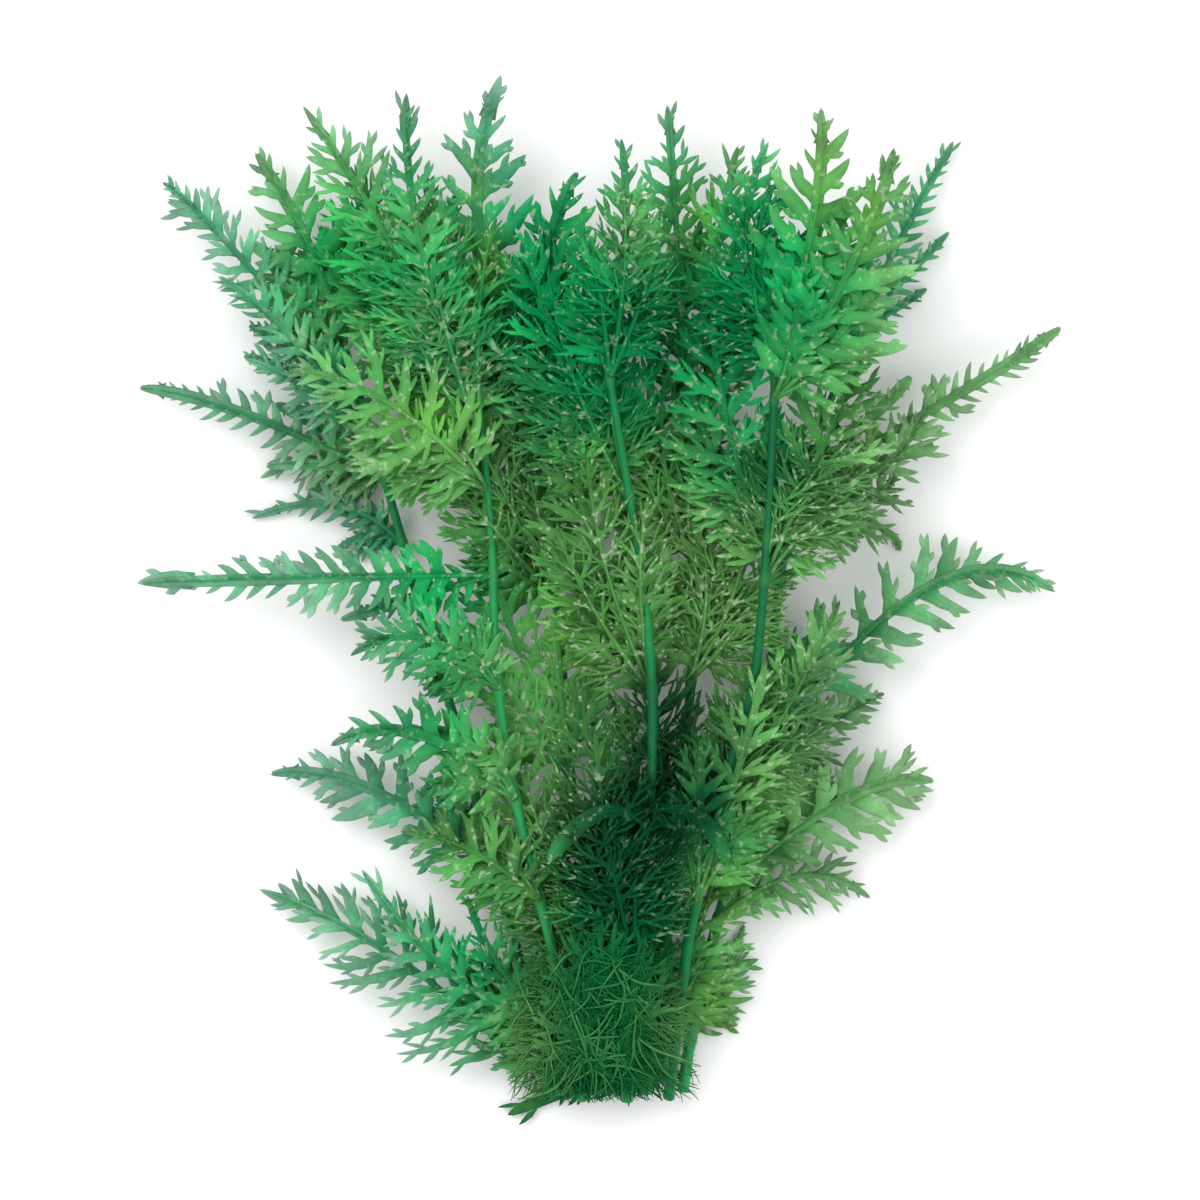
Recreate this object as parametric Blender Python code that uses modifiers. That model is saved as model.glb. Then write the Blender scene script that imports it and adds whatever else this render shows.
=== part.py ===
"""Water wisteria: seven leafy shoots of one bunch, lying on a flat surface.

Metres, +Z up. The shoots point along +Y with their rooted feet at -Y, and the origin is on the surface
under the middle of the bunch. Leaves lie on one another: each one is lifted just clear of what is below it.
"""

import math
from collections import namedtuple

import bmesh
import bpy
import numpy as np

# Driving dimensions, in metres
BUNCH_LENGTH = 0.282
STEM_RADIUS = 0.0016
STEM_TIP_SHARE = 0.6
LEAF_THICKNESS = 0.0008
MIDRIB_WIDTH = 0.0017
ROOT_THICKNESS = 0.0014
GAP = 0.0004

# The bunch is laid out in plan on a grid, columns to the right and rows down.
# From its highest leaf tip to its lowest one it is ROWS_LONG rows long.
ROWS_LONG = 1043
GRID_STEP = BUNCH_LENGTH / ROWS_LONG
MIDDLE_COLUMN = 599.5
MIDDLE_ROW = 597
MM = 0.001

# Shape of a leaf: shares of its midrib's length, and angles of its lobes to the midrib
STALK_SHARE = 0.13
TOP_SHARE = 0.93
MIDRIB_TAPER = 0.4
FIRST_LOBE_ANGLE = math.radians(60)
LAST_LOBE_ANGLE = math.radians(30)

# Shape of its outline: the lowest lobes' share of the longest ones, where the swell starts and how
# much of it there is, and how fast the lobes shorten towards the tip
LOWEST_LOBE = 0.45
SWELL_FROM = 0.2
SWELL_SPAN = 0.6
TOP_TAPER = 0.65
TAPER_POWER = 1.5

# How unlike one another the lobes are, and the steps in radians from lobe to lobe and from side to side
UNEVEN = 0.14
UNEVEN_STEP = 2.4
UNEVEN_SIDE = 1.9

# Shape of a lobe: where its shoulder and tip are, as shares of its length and of its root's width
SHOULDER_REACH = 0.6
SHOULDER_BACK = 0.15
TIP_FORWARD = 0.3

# How much the lobes tilt up and down, and how high the midrib arches, as shares of their lengths
CUP = 0.12
ARCH = 0.03

# How finely the pieces are set against one another as they are laid down
CELL = 0.0006
PLAN_HALF_SHARE = 0.6
SMOOTHING_ROUNDS = 12
LEAF_SAMPLES = 26
STEM_POINTS = 10
SAMPLES_A_STEM_POINT = 60
SAMPLES_ACROSS_STEM = 9
STEM_POINT_REACH = 0.6
CLOSE_TO_BASE = 0.6

Leaf = namedtuple("Leaf", "stem row middle tip reach pairs roll height colour")

# Each stem's route from foot to growing tip: column, row, height above the surface in mm
STEMS = {
    "far_left": [(556, 1098, 3), (530, 1000, 4), (497, 880, 6), (460, 740, 7), (420, 610, 8), (385, 480, 9),
                 (350, 370, 10), (334, 305, 11)],
    "far_right": [(683, 1094, 3), (702, 980, 4), (736, 860, 6), (766, 730, 7), (778, 600, 8), (802, 480, 9),
                  (840, 380, 10), (856, 310, 11)],
    "mid_right": [(647, 1096, 5), (657, 960, 8), (680, 800, 12), (693, 640, 15), (690, 480, 17),
                  (683, 350, 18), (677, 275, 19)],
    "mid_left": [(606, 1095, 5), (592, 960, 8), (572, 800, 12), (560, 640, 15), (545, 500, 17),
                 (520, 380, 19), (502, 305, 20)],
    "left": [(583, 1102, 8), (560, 980, 12), (525, 840, 17), (499, 700, 21), (493, 560, 23), (484, 450, 25),
             (474, 380, 26)],
    "right": [(669, 1100, 9), (681, 1000, 20), (703, 860, 29), (747, 710, 32), (762, 600, 35), (771, 450, 39),
              (775, 350, 38), (775, 295, 35)],
    "middle": [(627, 1103, 10), (632, 980, 18), (648, 830, 26), (652, 690, 32), (638, 553, 38),
               (618, 430, 41), (604, 345, 41), (600, 300, 40)],
}

# The order in which stems and leaves lie on one another, from the surface up.
# A leaf starts on its stem at a row. Then come the places of its midrib's middle and of its tip as
# column and row, the reach of its longest lobes in grid steps, its pairs of lobes, its roll to the
# left and the height of its tip in mm, and its colour.
PILE_ORDER = [
    "root_tuft_low",
    Leaf("far_left", 545, (335, 505), (250, 518), 38, 6, 0.1, 1, "teal"),
    Leaf("far_left", 480, (325, 458), (258, 478), 52, 6, 0.15, 2, "light"),
    Leaf("far_right", 340, (908, 225), (955, 139), 38, 6, 0.15, 3, "teal"),
    Leaf("far_right", 505, (875, 524), (901, 551), 28, 4, 0.0, 1, "light"),
    Leaf("far_right", 1040, (722, 985), (745, 925), 52, 6, 0.1, 1, "light"),
    "far_left",
    "far_right",
    Leaf("far_left", 335, (362, 255), (350, 165), 84, 6, -0.2, 12, "emerald"),
    Leaf("far_left", 355, (308, 245), (254, 151), 80, 7, 0.2, 10, "light"),
    Leaf("far_left", 395, (232, 248), (161, 181), 52, 7, 0.2, 7, "teal"),
    Leaf("far_left", 435, (288, 334), (219, 277), 48, 6, 0.1, 7, "teal"),
    Leaf("far_left", 475, (240, 412), (137, 387), 40, 7, 0.1, 8, "emerald"),
    Leaf("far_left", 1092, (405, 965), (258, 890), 100, 7, 0.15, 8, "emerald"),
    Leaf("far_left", 880, (375, 792), (268, 775), 68, 7, 0.1, 6, "teal"),
    Leaf("far_right", 480, (970, 387), (1063, 326), 38, 7, 0.0, 9, "light"),
    Leaf("far_right", 530, (885, 465), (925, 405), 66, 6, -0.2, 5, "olive"),
    Leaf("far_right", 790, (832, 722), (886, 694), 48, 6, 0.1, 4, "olive"),
    Leaf("far_right", 920, (800, 876), (872, 900), 58, 7, 0.2, 4, "light"),
    Leaf("far_right", 760, (925, 590), (1057, 592), 76, 7, -0.15, 10, "emerald"),
    Leaf("far_right", 890, (845, 800), (936, 782), 84, 7, 0.1, 8, "light"),
    "mid_right",
    "mid_left",
    Leaf("mid_right", 860, (655, 730), (645, 590), 96, 6, 0.1, 18, "light"),
    Leaf("mid_right", 330, (675, 210), (667, 105), 62, 7, 0.1, 20, "emerald"),
    Leaf("mid_right", 420, (715, 260), (738, 146), 76, 7, -0.15, 22, "olive"),
    Leaf("mid_right", 560, (655, 440), (655, 330), 92, 7, 0.15, 20, "olive"),
    Leaf("mid_right", 680, (742, 570), (765, 450), 98, 7, -0.1, 20, "olive"),
    Leaf("mid_left", 390, (478, 225), (501, 75), 92, 7, 0.05, 22, "teal"),
    Leaf("mid_left", 430, (545, 270), (578, 172), 78, 7, -0.2, 26, "emerald"),
    Leaf("mid_left", 470, (445, 335), (400, 230), 90, 7, 0.0, 18, "emerald"),
    Leaf("mid_left", 600, (495, 480), (440, 375), 92, 7, 0.0, 14, "olive"),
    Leaf("mid_left", 780, (520, 650), (480, 540), 94, 6, 0.0, 12, "emerald"),
    Leaf("mid_left", 980, (540, 840), (495, 710), 98, 7, 0.0, 10, "olive"),
    "left",
    Leaf("left", 420, (385, 235), (303, 106), 86, 7, 0.2, 22, "light"),
    Leaf("left", 450, (422, 250), (407, 94), 64, 7, -0.1, 26, "emerald"),
    Leaf("left", 490, (390, 405), (290, 370), 92, 7, 0.2, 18, "light"),
    Leaf("left", 575, (325, 578), (136, 583), 56, 8, -0.1, 12, "emerald"),
    Leaf("left", 690, (425, 638), (350, 656), 68, 7, 0.1, 12, "emerald"),
    Leaf("left", 800, (420, 734), (330, 746), 66, 6, -0.1, 12, "emerald"),
    Leaf("left", 900, (470, 850), (400, 832), 66, 6, 0.15, 12, "olive"),
    Leaf("left", 1040, (452, 975), (361, 870), 66, 7, 0.1, 14, "emerald"),
    Leaf("mid_right", 1040, (705, 910), (735, 790), 94, 7, -0.1, 14, "olive"),
    Leaf("right", 540, (722, 400), (715, 270), 98, 7, 0.2, 25, "emerald"),
    Leaf("right", 580, (820, 450), (865, 355), 96, 7, -0.15, 22, "olive"),
    Leaf("right", 820, (790, 700), (840, 600), 88, 7, -0.1, 20, "olive"),
    "right",
    Leaf("right", 900, (733, 785), (765, 665), 88, 7, -0.15, 36, "light"),
    Leaf("right", 380, (745, 250), (768, 144), 84, 7, 0.15, 36, "emerald"),
    Leaf("right", 350, (812, 230), (820, 109), 94, 7, -0.1, 36, "light"),
    Leaf("right", 400, (850, 270), (893, 150), 90, 7, -0.2, 34, "light"),
    Leaf("middle", 500, (560, 360), (525, 230), 104, 7, 0.2, 33, "emerald"),
    Leaf("middle", 690, (592, 540), (565, 400), 92, 7, 0.15, 30, "olive"),
    "middle",
    Leaf("middle", 380, (625, 250), (621, 141), 70, 7, 0.1, 42, "emerald"),
    Leaf("middle", 960, (600, 820), (580, 670), 104, 7, 0.0, 31, "dark"),
    Leaf("middle", 828, (600, 812), (547, 862), 20, 4, 0.0, 30, "emerald"),
    Leaf("middle", 812, (697, 815), (727, 864), 20, 4, 0.0, 31, "emerald"),
    "root_tuft",
]

# The roots: one tuft lies under the feet of the stems and one on top of them
ROOT_TUFTS = {
    "root_tuft_low": Leaf("far_right", 1030, (620, 1068), (507, 1118), 54, 6, 0.0, 1, "root"),
    "root_tuft": Leaf("middle", 1092, (604, 1015), (598, 905), 100, 6, 0.0, 16, "root"),
}

COLOURS = {
    "teal": (0.045, 0.290, 0.150),
    "emerald": (0.012, 0.270, 0.085),
    "light": (0.130, 0.400, 0.120),
    "olive": (0.060, 0.170, 0.040),
    "dark": (0.004, 0.065, 0.020),
    "stem": (0.015, 0.150, 0.035),
    "root": (0.020, 0.120, 0.045),
}
LEAF_ROUGHNESS = 0.45


def on_plan(column, row):
    """A place on the layout grid as x and y in metres."""
    return np.array([(column - MIDDLE_COLUMN) * GRID_STEP, (MIDDLE_ROW - row) * GRID_STEP])


class Pile:
    """How high the pieces laid down so far reach above each cell of the surface."""

    def __init__(self):
        half = PLAN_HALF_SHARE * BUNCH_LENGTH
        self.low = -half
        self.count = int(2 * half / CELL)
        self.top = np.full((self.count, self.count), -GAP)

    def cells(self, places):
        return np.clip(((places - self.low) / CELL).astype(int), 1, self.count - 2)

    def under(self, places):
        """The height that a piece at each of these places must clear."""
        cells = self.cells(places)
        return self.top[cells[..., 0], cells[..., 1]] + GAP

    def add(self, places, heights):
        """Lays a piece down. Each height also counts for the cells next to its own."""
        cells = self.cells(places).reshape(-1, 2)
        heights = np.asarray(heights).reshape(-1)
        for across in (-1, 0, 1):
            for along in (-1, 0, 1):
                np.maximum.at(self.top, (cells[:, 0] + across, cells[:, 1] + along), heights)


def outline_share(t):
    """A lobe's share of the longest one's length, at t from the lowest pair, 0, to the highest, 1."""
    swell = LOWEST_LOBE + (1 - LOWEST_LOBE) * math.sin(math.pi * (SWELL_FROM + SWELL_SPAN * t))
    return swell * (1 - TOP_TAPER * t**TAPER_POWER)


def relaxed(heights, needed):
    """Heights along a line that clear what they need to, with the hollows between them lifted."""
    heights = np.maximum(heights, needed)
    for _ in range(SMOOTHING_ROUNDS):
        between = (heights[:-2] + heights[2:]) / 2
        heights[1:-1] = np.maximum(heights[1:-1], between)
    return heights


def smooth_route(points, count):
    """count points on a smooth curve through the given ones."""
    points = np.array(points, float)
    ends = np.vstack([2 * points[0] - points[1], points, 2 * points[-1] - points[-2]])
    found = []
    for t in np.linspace(0, len(points) - 1, count):
        i = min(int(t), len(points) - 2)
        u = t - i
        a, b, c, d = ends[i : i + 4]
        found.append(b + u * ((c - a) + u * ((2 * a - 5 * b + 4 * c - d) + u * (3 * (b - c) + d - a))) / 2)
    return np.array(found)


class Stem:
    """A stem's centre line, from its foot to its growing tip."""

    def __init__(self, name, route):
        places = [(*on_plan(column, row), height * MM) for column, row, height in route]
        self.name = "stem_" + name
        self.line = smooth_route(places, STEM_POINTS)
        self.radii = STEM_RADIUS * np.linspace(1, STEM_TIP_SHARE, STEM_POINTS)
        self.laid = False

    def at_row(self, row):
        """The point of the centre line at a row of the layout grid, and the radius there."""
        y = on_plan(0, row)[1]
        share = [np.interp(y, self.line[:, 1], self.line[:, axis]) for axis in range(3)]
        return np.array(share), np.interp(y, self.line[:, 1], self.radii)

    def lay(self, pile):
        """Lifts the stem clear of what it crosses."""
        shares = np.linspace(0, 1, SAMPLES_A_STEM_POINT * STEM_POINTS)
        steps = np.linspace(0, 1, STEM_POINTS)
        centre = np.array([np.interp(shares, steps, self.line[:, axis]) for axis in range(3)]).T
        radius = np.interp(shares, steps, self.radii)
        along = np.gradient(centre[:, :2], axis=0)
        side = np.column_stack([-along[:, 1], along[:, 0]]) / np.linalg.norm(along, axis=1)[:, None]
        across = np.linspace(-1, 1, SAMPLES_ACROSS_STEM)
        places = centre[:, None, :2] + side[:, None] * (radius[:, None] * across)[..., None]
        dome = radius[:, None] * np.sqrt(1 - across**2)
        needed = (pile.under(places) + dome).max(axis=1)
        reach = STEM_POINT_REACH / STEM_POINTS
        lifted = [needed[np.abs(shares - step) < reach].max() for step in steps]
        self.line[:, 2] = relaxed(self.line[:, 2], np.array(lifted))
        height = np.interp(shares, steps, self.line[:, 2])
        pile.add(places, height[:, None] + dome)
        self.laid = True

    def build(self, collection):
        """Makes the stem as a round curve: a bevel depth of 1 m times each point's radius in metres."""
        data = bpy.data.curves.new(self.name, "CURVE")
        data.dimensions = "3D"
        data.bevel_depth = 1.0
        data.bevel_resolution = 1
        data.use_fill_caps = True
        spline = data.splines.new("POLY")
        spline.points.add(STEM_POINTS - 1)
        for point, place, radius in zip(spline.points, self.line, self.radii):
            point.co = (*place, 1)
            point.radius = radius
        obj = bpy.data.objects.new(self.name, data)
        data.materials.append(material("stem"))
        collection.objects.link(obj)


class Blade:
    """A leaf's blade as an open surface: corners in plan, and the midrib station that carries each corner."""

    def __init__(self, name, leaf, base, thickness, turn):
        self.name = name
        self.leaf = leaf
        self.thickness = thickness
        middle, tip = on_plan(*leaf.middle), on_plan(*leaf.tip)
        self.start = base[:2]
        self.bend = 2 * middle - (self.start + tip) / 2
        self.tip = tip
        self.base_height = base[2]
        self.places = []
        self.stations = []
        self.stand_off = []
        self.triangles = []
        self.shares = [0, *np.linspace(STALK_SHARE, TOP_SHARE, leaf.pairs + 1), 1]
        self.trace(turn)

    def along(self, share):
        """The midrib's place in plan and its direction."""
        place = (1 - share) ** 2 * self.start + 2 * share * (1 - share) * self.bend + share**2 * self.tip
        way = (1 - share) * (self.bend - self.start) + share * (self.tip - self.bend)
        return place, way / np.linalg.norm(way)

    def corner(self, place, station, stand_off):
        self.places.append(place)
        self.stations.append(station)
        self.stand_off.append(stand_off)
        return len(self.places) - 1

    def trace(self, turn):
        """Lays out the midrib's edges and a lobe on each side between every two stations."""
        edges = []
        for station, share in enumerate(self.shares[:-1]):
            place, way = self.along(share)
            half = MIDRIB_WIDTH * (1 - MIDRIB_TAPER * share) / 2
            aside = np.array([-way[1], way[0]]) * half
            edges.append([self.corner(place + aside, station, 0), self.corner(place - aside, station, 0)])
        tip = self.corner(self.tip, len(self.shares) - 1, 0)
        for (a, b), (c, d) in zip(edges, edges[1:]):
            self.triangles += [(a, b, d), (a, d, c)]
        self.triangles.append((*edges[-1], tip))
        for k in range(self.leaf.pairs):
            for side in (0, 1):
                self.lobe(k, side, edges[k + 1][side], edges[k + 2][side], turn)

    def lobe(self, k, side, lower, upper, turn):
        """Lays out the k-th lobe of a side, from its root's two corners on the midrib's edge."""
        leaf = self.leaf
        sign = (1, -1)[side]
        t = k / (leaf.pairs - 1)
        angle = sign * (FIRST_LOBE_ANGLE + t * (LAST_LOBE_ANGLE - FIRST_LOBE_ANGLE))
        _, way = self.along((self.shares[k + 1] + self.shares[k + 2]) / 2)
        out = np.array([
            way[0] * math.cos(angle) - way[1] * math.sin(angle),
            way[0] * math.sin(angle) + way[1] * math.cos(angle),
        ])
        uneven = 1 + UNEVEN * math.sin(UNEVEN_STEP * k + UNEVEN_SIDE * side + turn)
        length = leaf.reach * GRID_STEP * outline_share(t) * uneven
        spacing = self.places[upper] - self.places[lower]
        tip = self.places[lower] + TIP_FORWARD * spacing + out * length
        shoulder = self.places[upper] - SHOULDER_BACK * spacing + out * length * SHOULDER_REACH
        tilt = sign * leaf.roll + CUP * math.sin(turn + k)
        tip = self.corner(tip, k + 2, length * tilt)
        shoulder = self.corner(shoulder, k + 2, length * SHOULDER_REACH * tilt)
        if side == 0:
            self.triangles += [(lower, shoulder, tip), (lower, upper, shoulder)]
        else:
            self.triangles += [(lower, tip, shoulder), (lower, shoulder, upper)]

    def lay(self, pile):
        """Finds the height of each station, from the stem's at the base to the leaf's own at its tip."""
        places, off = np.array(self.places), np.array(self.stand_off)
        triangles, stations = np.array(self.triangles), np.array(self.stations)
        u, v = np.meshgrid(*[np.linspace(0, 1, LEAF_SAMPLES)] * 2)
        inside = u + v <= 1 + 1e-9
        weights = np.stack([u[inside], v[inside], 1 - u[inside] - v[inside]], axis=1)
        spots = np.einsum("mc,tcx->tmx", weights, places[triangles])
        rises = np.einsum("mc,tc->tm", weights, off[triangles])
        lift = pile.under(spots) - rises + self.thickness / 2
        needed = self.clearance(lift, weights, stations[triangles])
        shares = np.array(self.shares)
        length = np.linalg.norm(self.tip - self.start)
        wanted = self.base_height + shares * (self.leaf.height * MM - self.base_height)
        wanted += ARCH * length * 4 * shares * (1 - shares)
        self.midrib = relaxed(wanted, needed)
        self.heights = self.midrib[stations] + off
        tops = np.einsum("mc,tc->tm", weights, self.heights[triangles]) + self.thickness / 2
        pile.add(spots, tops)

    def clearance(self, lift, weights, carried):
        """The least height of each station. The base only rises for what lies close to it, and the
        first lobes' station lifts the rest of the stalk."""
        needed = np.full(len(self.shares), -1.0)
        stalk = carried.min(axis=1) == 0
        np.maximum.at(needed, carried[~stalk].reshape(-1), np.repeat(lift[~stalk].max(axis=1), 3))
        at_base = np.einsum("mc,tc->tm", weights, (carried[stalk] == 0).astype(float))
        close = at_base > CLOSE_TO_BASE
        needed[0] = max(self.base_height, lift[stalk][close].max())
        rest = (lift[stalk] - at_base * needed[0])[~close] / (1 - at_base[~close])
        needed[1] = max(needed[1], rest.max())
        return needed

    def build(self, collection):
        """Makes the blade as a surface with a Solidify modifier."""
        mesh = bpy.data.meshes.new(self.name)
        surface = bmesh.new()
        corners = [surface.verts.new((*place, height)) for place, height in zip(self.places, self.heights)]
        for triangle in self.triangles:
            surface.faces.new([corners[i] for i in triangle])
        bmesh.ops.recalc_face_normals(surface, faces=surface.faces)
        surface.to_mesh(mesh)
        surface.free()
        mesh.materials.append(material(self.leaf.colour))
        obj = bpy.data.objects.new(self.name, mesh)
        shell = obj.modifiers.new("blade_thickness", "SOLIDIFY")
        shell.thickness = self.thickness
        shell.offset = 0
        collection.objects.link(obj)


def material(colour):
    """The Principled material of this colour, made once."""
    name = "wisteria_" + colour
    if name in bpy.data.materials:
        return bpy.data.materials[name]
    made = bpy.data.materials.new(name)
    made.use_nodes = True
    shader = made.node_tree.nodes["Principled BSDF"]
    shader.inputs["Base Color"].default_value = (*COLOURS[colour], 1)
    shader.inputs["Roughness"].default_value = LEAF_ROUGHNESS
    shader.inputs["Metallic"].default_value = 0
    return made


def lay_bunch():
    """The stems, leaves and root tufts, laid on one another from the surface up."""
    stems = {name: Stem(name, route) for name, route in STEMS.items()}
    numbers = dict.fromkeys(STEMS, 0)
    pile = Pile()
    pieces = []
    for turn, entry in enumerate(PILE_ORDER):
        if entry in stems:
            piece = stems[entry]
        else:
            piece = blade_on_stem(entry, stems, numbers, turn)
        piece.lay(pile)
        pieces.append(piece)
    return pieces


def blade_on_stem(entry, stems, numbers, turn):
    """A root tuft or a leaf, which starts on top of its stem, or under it where the stem comes later."""
    leaf = ROOT_TUFTS.get(entry, entry)
    if entry in ROOT_TUFTS:
        name = entry
        thickness = ROOT_THICKNESS
    else:
        numbers[leaf.stem] += 1
        name = f"leaf_{leaf.stem}_{numbers[leaf.stem]:02d}"
        thickness = LEAF_THICKNESS
    stem = stems[leaf.stem]
    base, radius = stem.at_row(leaf.row)
    beside = radius + GAP + thickness / 2
    base[2] += beside if stem.laid else -beside
    return Blade(name, leaf, base, thickness, turn)


def main():
    for obj in list(bpy.data.objects):
        bpy.data.objects.remove(obj)
    collection = bpy.data.collections.new("water_wisteria")
    bpy.context.scene.collection.children.link(collection)
    for piece in lay_bunch():
        piece.build(collection)


main()
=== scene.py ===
"""Water wisteria: the looks of a bunch of seven leafy shoots that lies on a pale surface, seen from above.

Metres, +Z up, the shoots pointing along +Y. Every leaf lies where its solid in the frame lies: the solid
gives the heights, and the layout below gives the places in plan. A leaf is cut twice, into lobes along its
midrib and those into pointed segments. The roots are fine threads.
"""

import math
from collections import namedtuple

import bpy
import numpy as np
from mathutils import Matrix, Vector
from mathutils.bvhtree import BVHTree


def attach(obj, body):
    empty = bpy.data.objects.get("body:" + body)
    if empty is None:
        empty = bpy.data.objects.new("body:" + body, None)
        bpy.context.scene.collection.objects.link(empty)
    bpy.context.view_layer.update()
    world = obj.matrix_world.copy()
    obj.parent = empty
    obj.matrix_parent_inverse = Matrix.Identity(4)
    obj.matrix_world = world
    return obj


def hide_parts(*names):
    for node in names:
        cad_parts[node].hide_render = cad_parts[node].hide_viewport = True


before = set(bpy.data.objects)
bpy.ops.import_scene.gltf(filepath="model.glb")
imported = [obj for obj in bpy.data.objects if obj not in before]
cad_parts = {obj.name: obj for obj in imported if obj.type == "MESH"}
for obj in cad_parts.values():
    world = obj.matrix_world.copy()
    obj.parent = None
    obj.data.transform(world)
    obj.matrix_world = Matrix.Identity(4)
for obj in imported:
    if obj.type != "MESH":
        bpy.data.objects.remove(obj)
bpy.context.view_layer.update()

# The layout in plan is on a grid, columns to the right and rows down
BUNCH_LENGTH = 0.282
ROWS_LONG = 1043
GRID_STEP = BUNCH_LENGTH / ROWS_LONG
MIDDLE_COLUMN = 599.5
MIDDLE_ROW = 597
STEM_RADIUS = 0.0016
STEM_TIP_SHARE = 0.6
STEM_POINTS = 10
SEED = 7

# A leaf's form in plan: shares of its midrib's length, and angles of its lobes to the midrib
STALK_SHARE = 0.13
TOP_SHARE = 0.93
FIRST_LOBE_ANGLE = math.radians(60)
LAST_LOBE_ANGLE = math.radians(30)
LOWEST_LOBE = 0.45
SWELL_FROM = 0.2
SWELL_SPAN = 0.6
TOP_TAPER = 0.65
TAPER_POWER = 1.5
UNEVEN = 0.14
UNEVEN_STEP = 2.4
UNEVEN_SIDE = 1.9
TIP_FORWARD = 0.3
CUP = 0.12

Leaf = namedtuple("Leaf", "stem row middle tip reach pairs roll colour")

# Each stem's route from foot to growing tip: column and row
STEMS = {
    "far_left": [
        (556, 1098), (530, 1000), (497, 880), (460, 740), (420, 610), (385, 480), (350, 370), (334, 305),
    ],
    "far_right": [
        (683, 1094), (702, 980), (736, 860), (766, 730), (778, 600), (802, 480), (840, 380), (856, 310),
    ],
    "mid_right": [(647, 1096), (657, 960), (680, 800), (693, 640), (690, 480), (683, 350), (677, 275)],
    "mid_left": [(606, 1095), (592, 960), (572, 800), (560, 640), (545, 500), (520, 380), (502, 305)],
    "left": [(583, 1102), (560, 980), (525, 840), (499, 700), (493, 560), (484, 450), (474, 380)],
    "right": [
        (669, 1100), (681, 1000), (703, 860), (747, 710), (762, 600), (771, 450), (775, 350), (775, 295),
    ],
    "middle": [
        (627, 1103), (632, 980), (648, 830), (652, 690), (638, 553), (618, 430), (604, 345), (600, 300),
    ],
}

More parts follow.
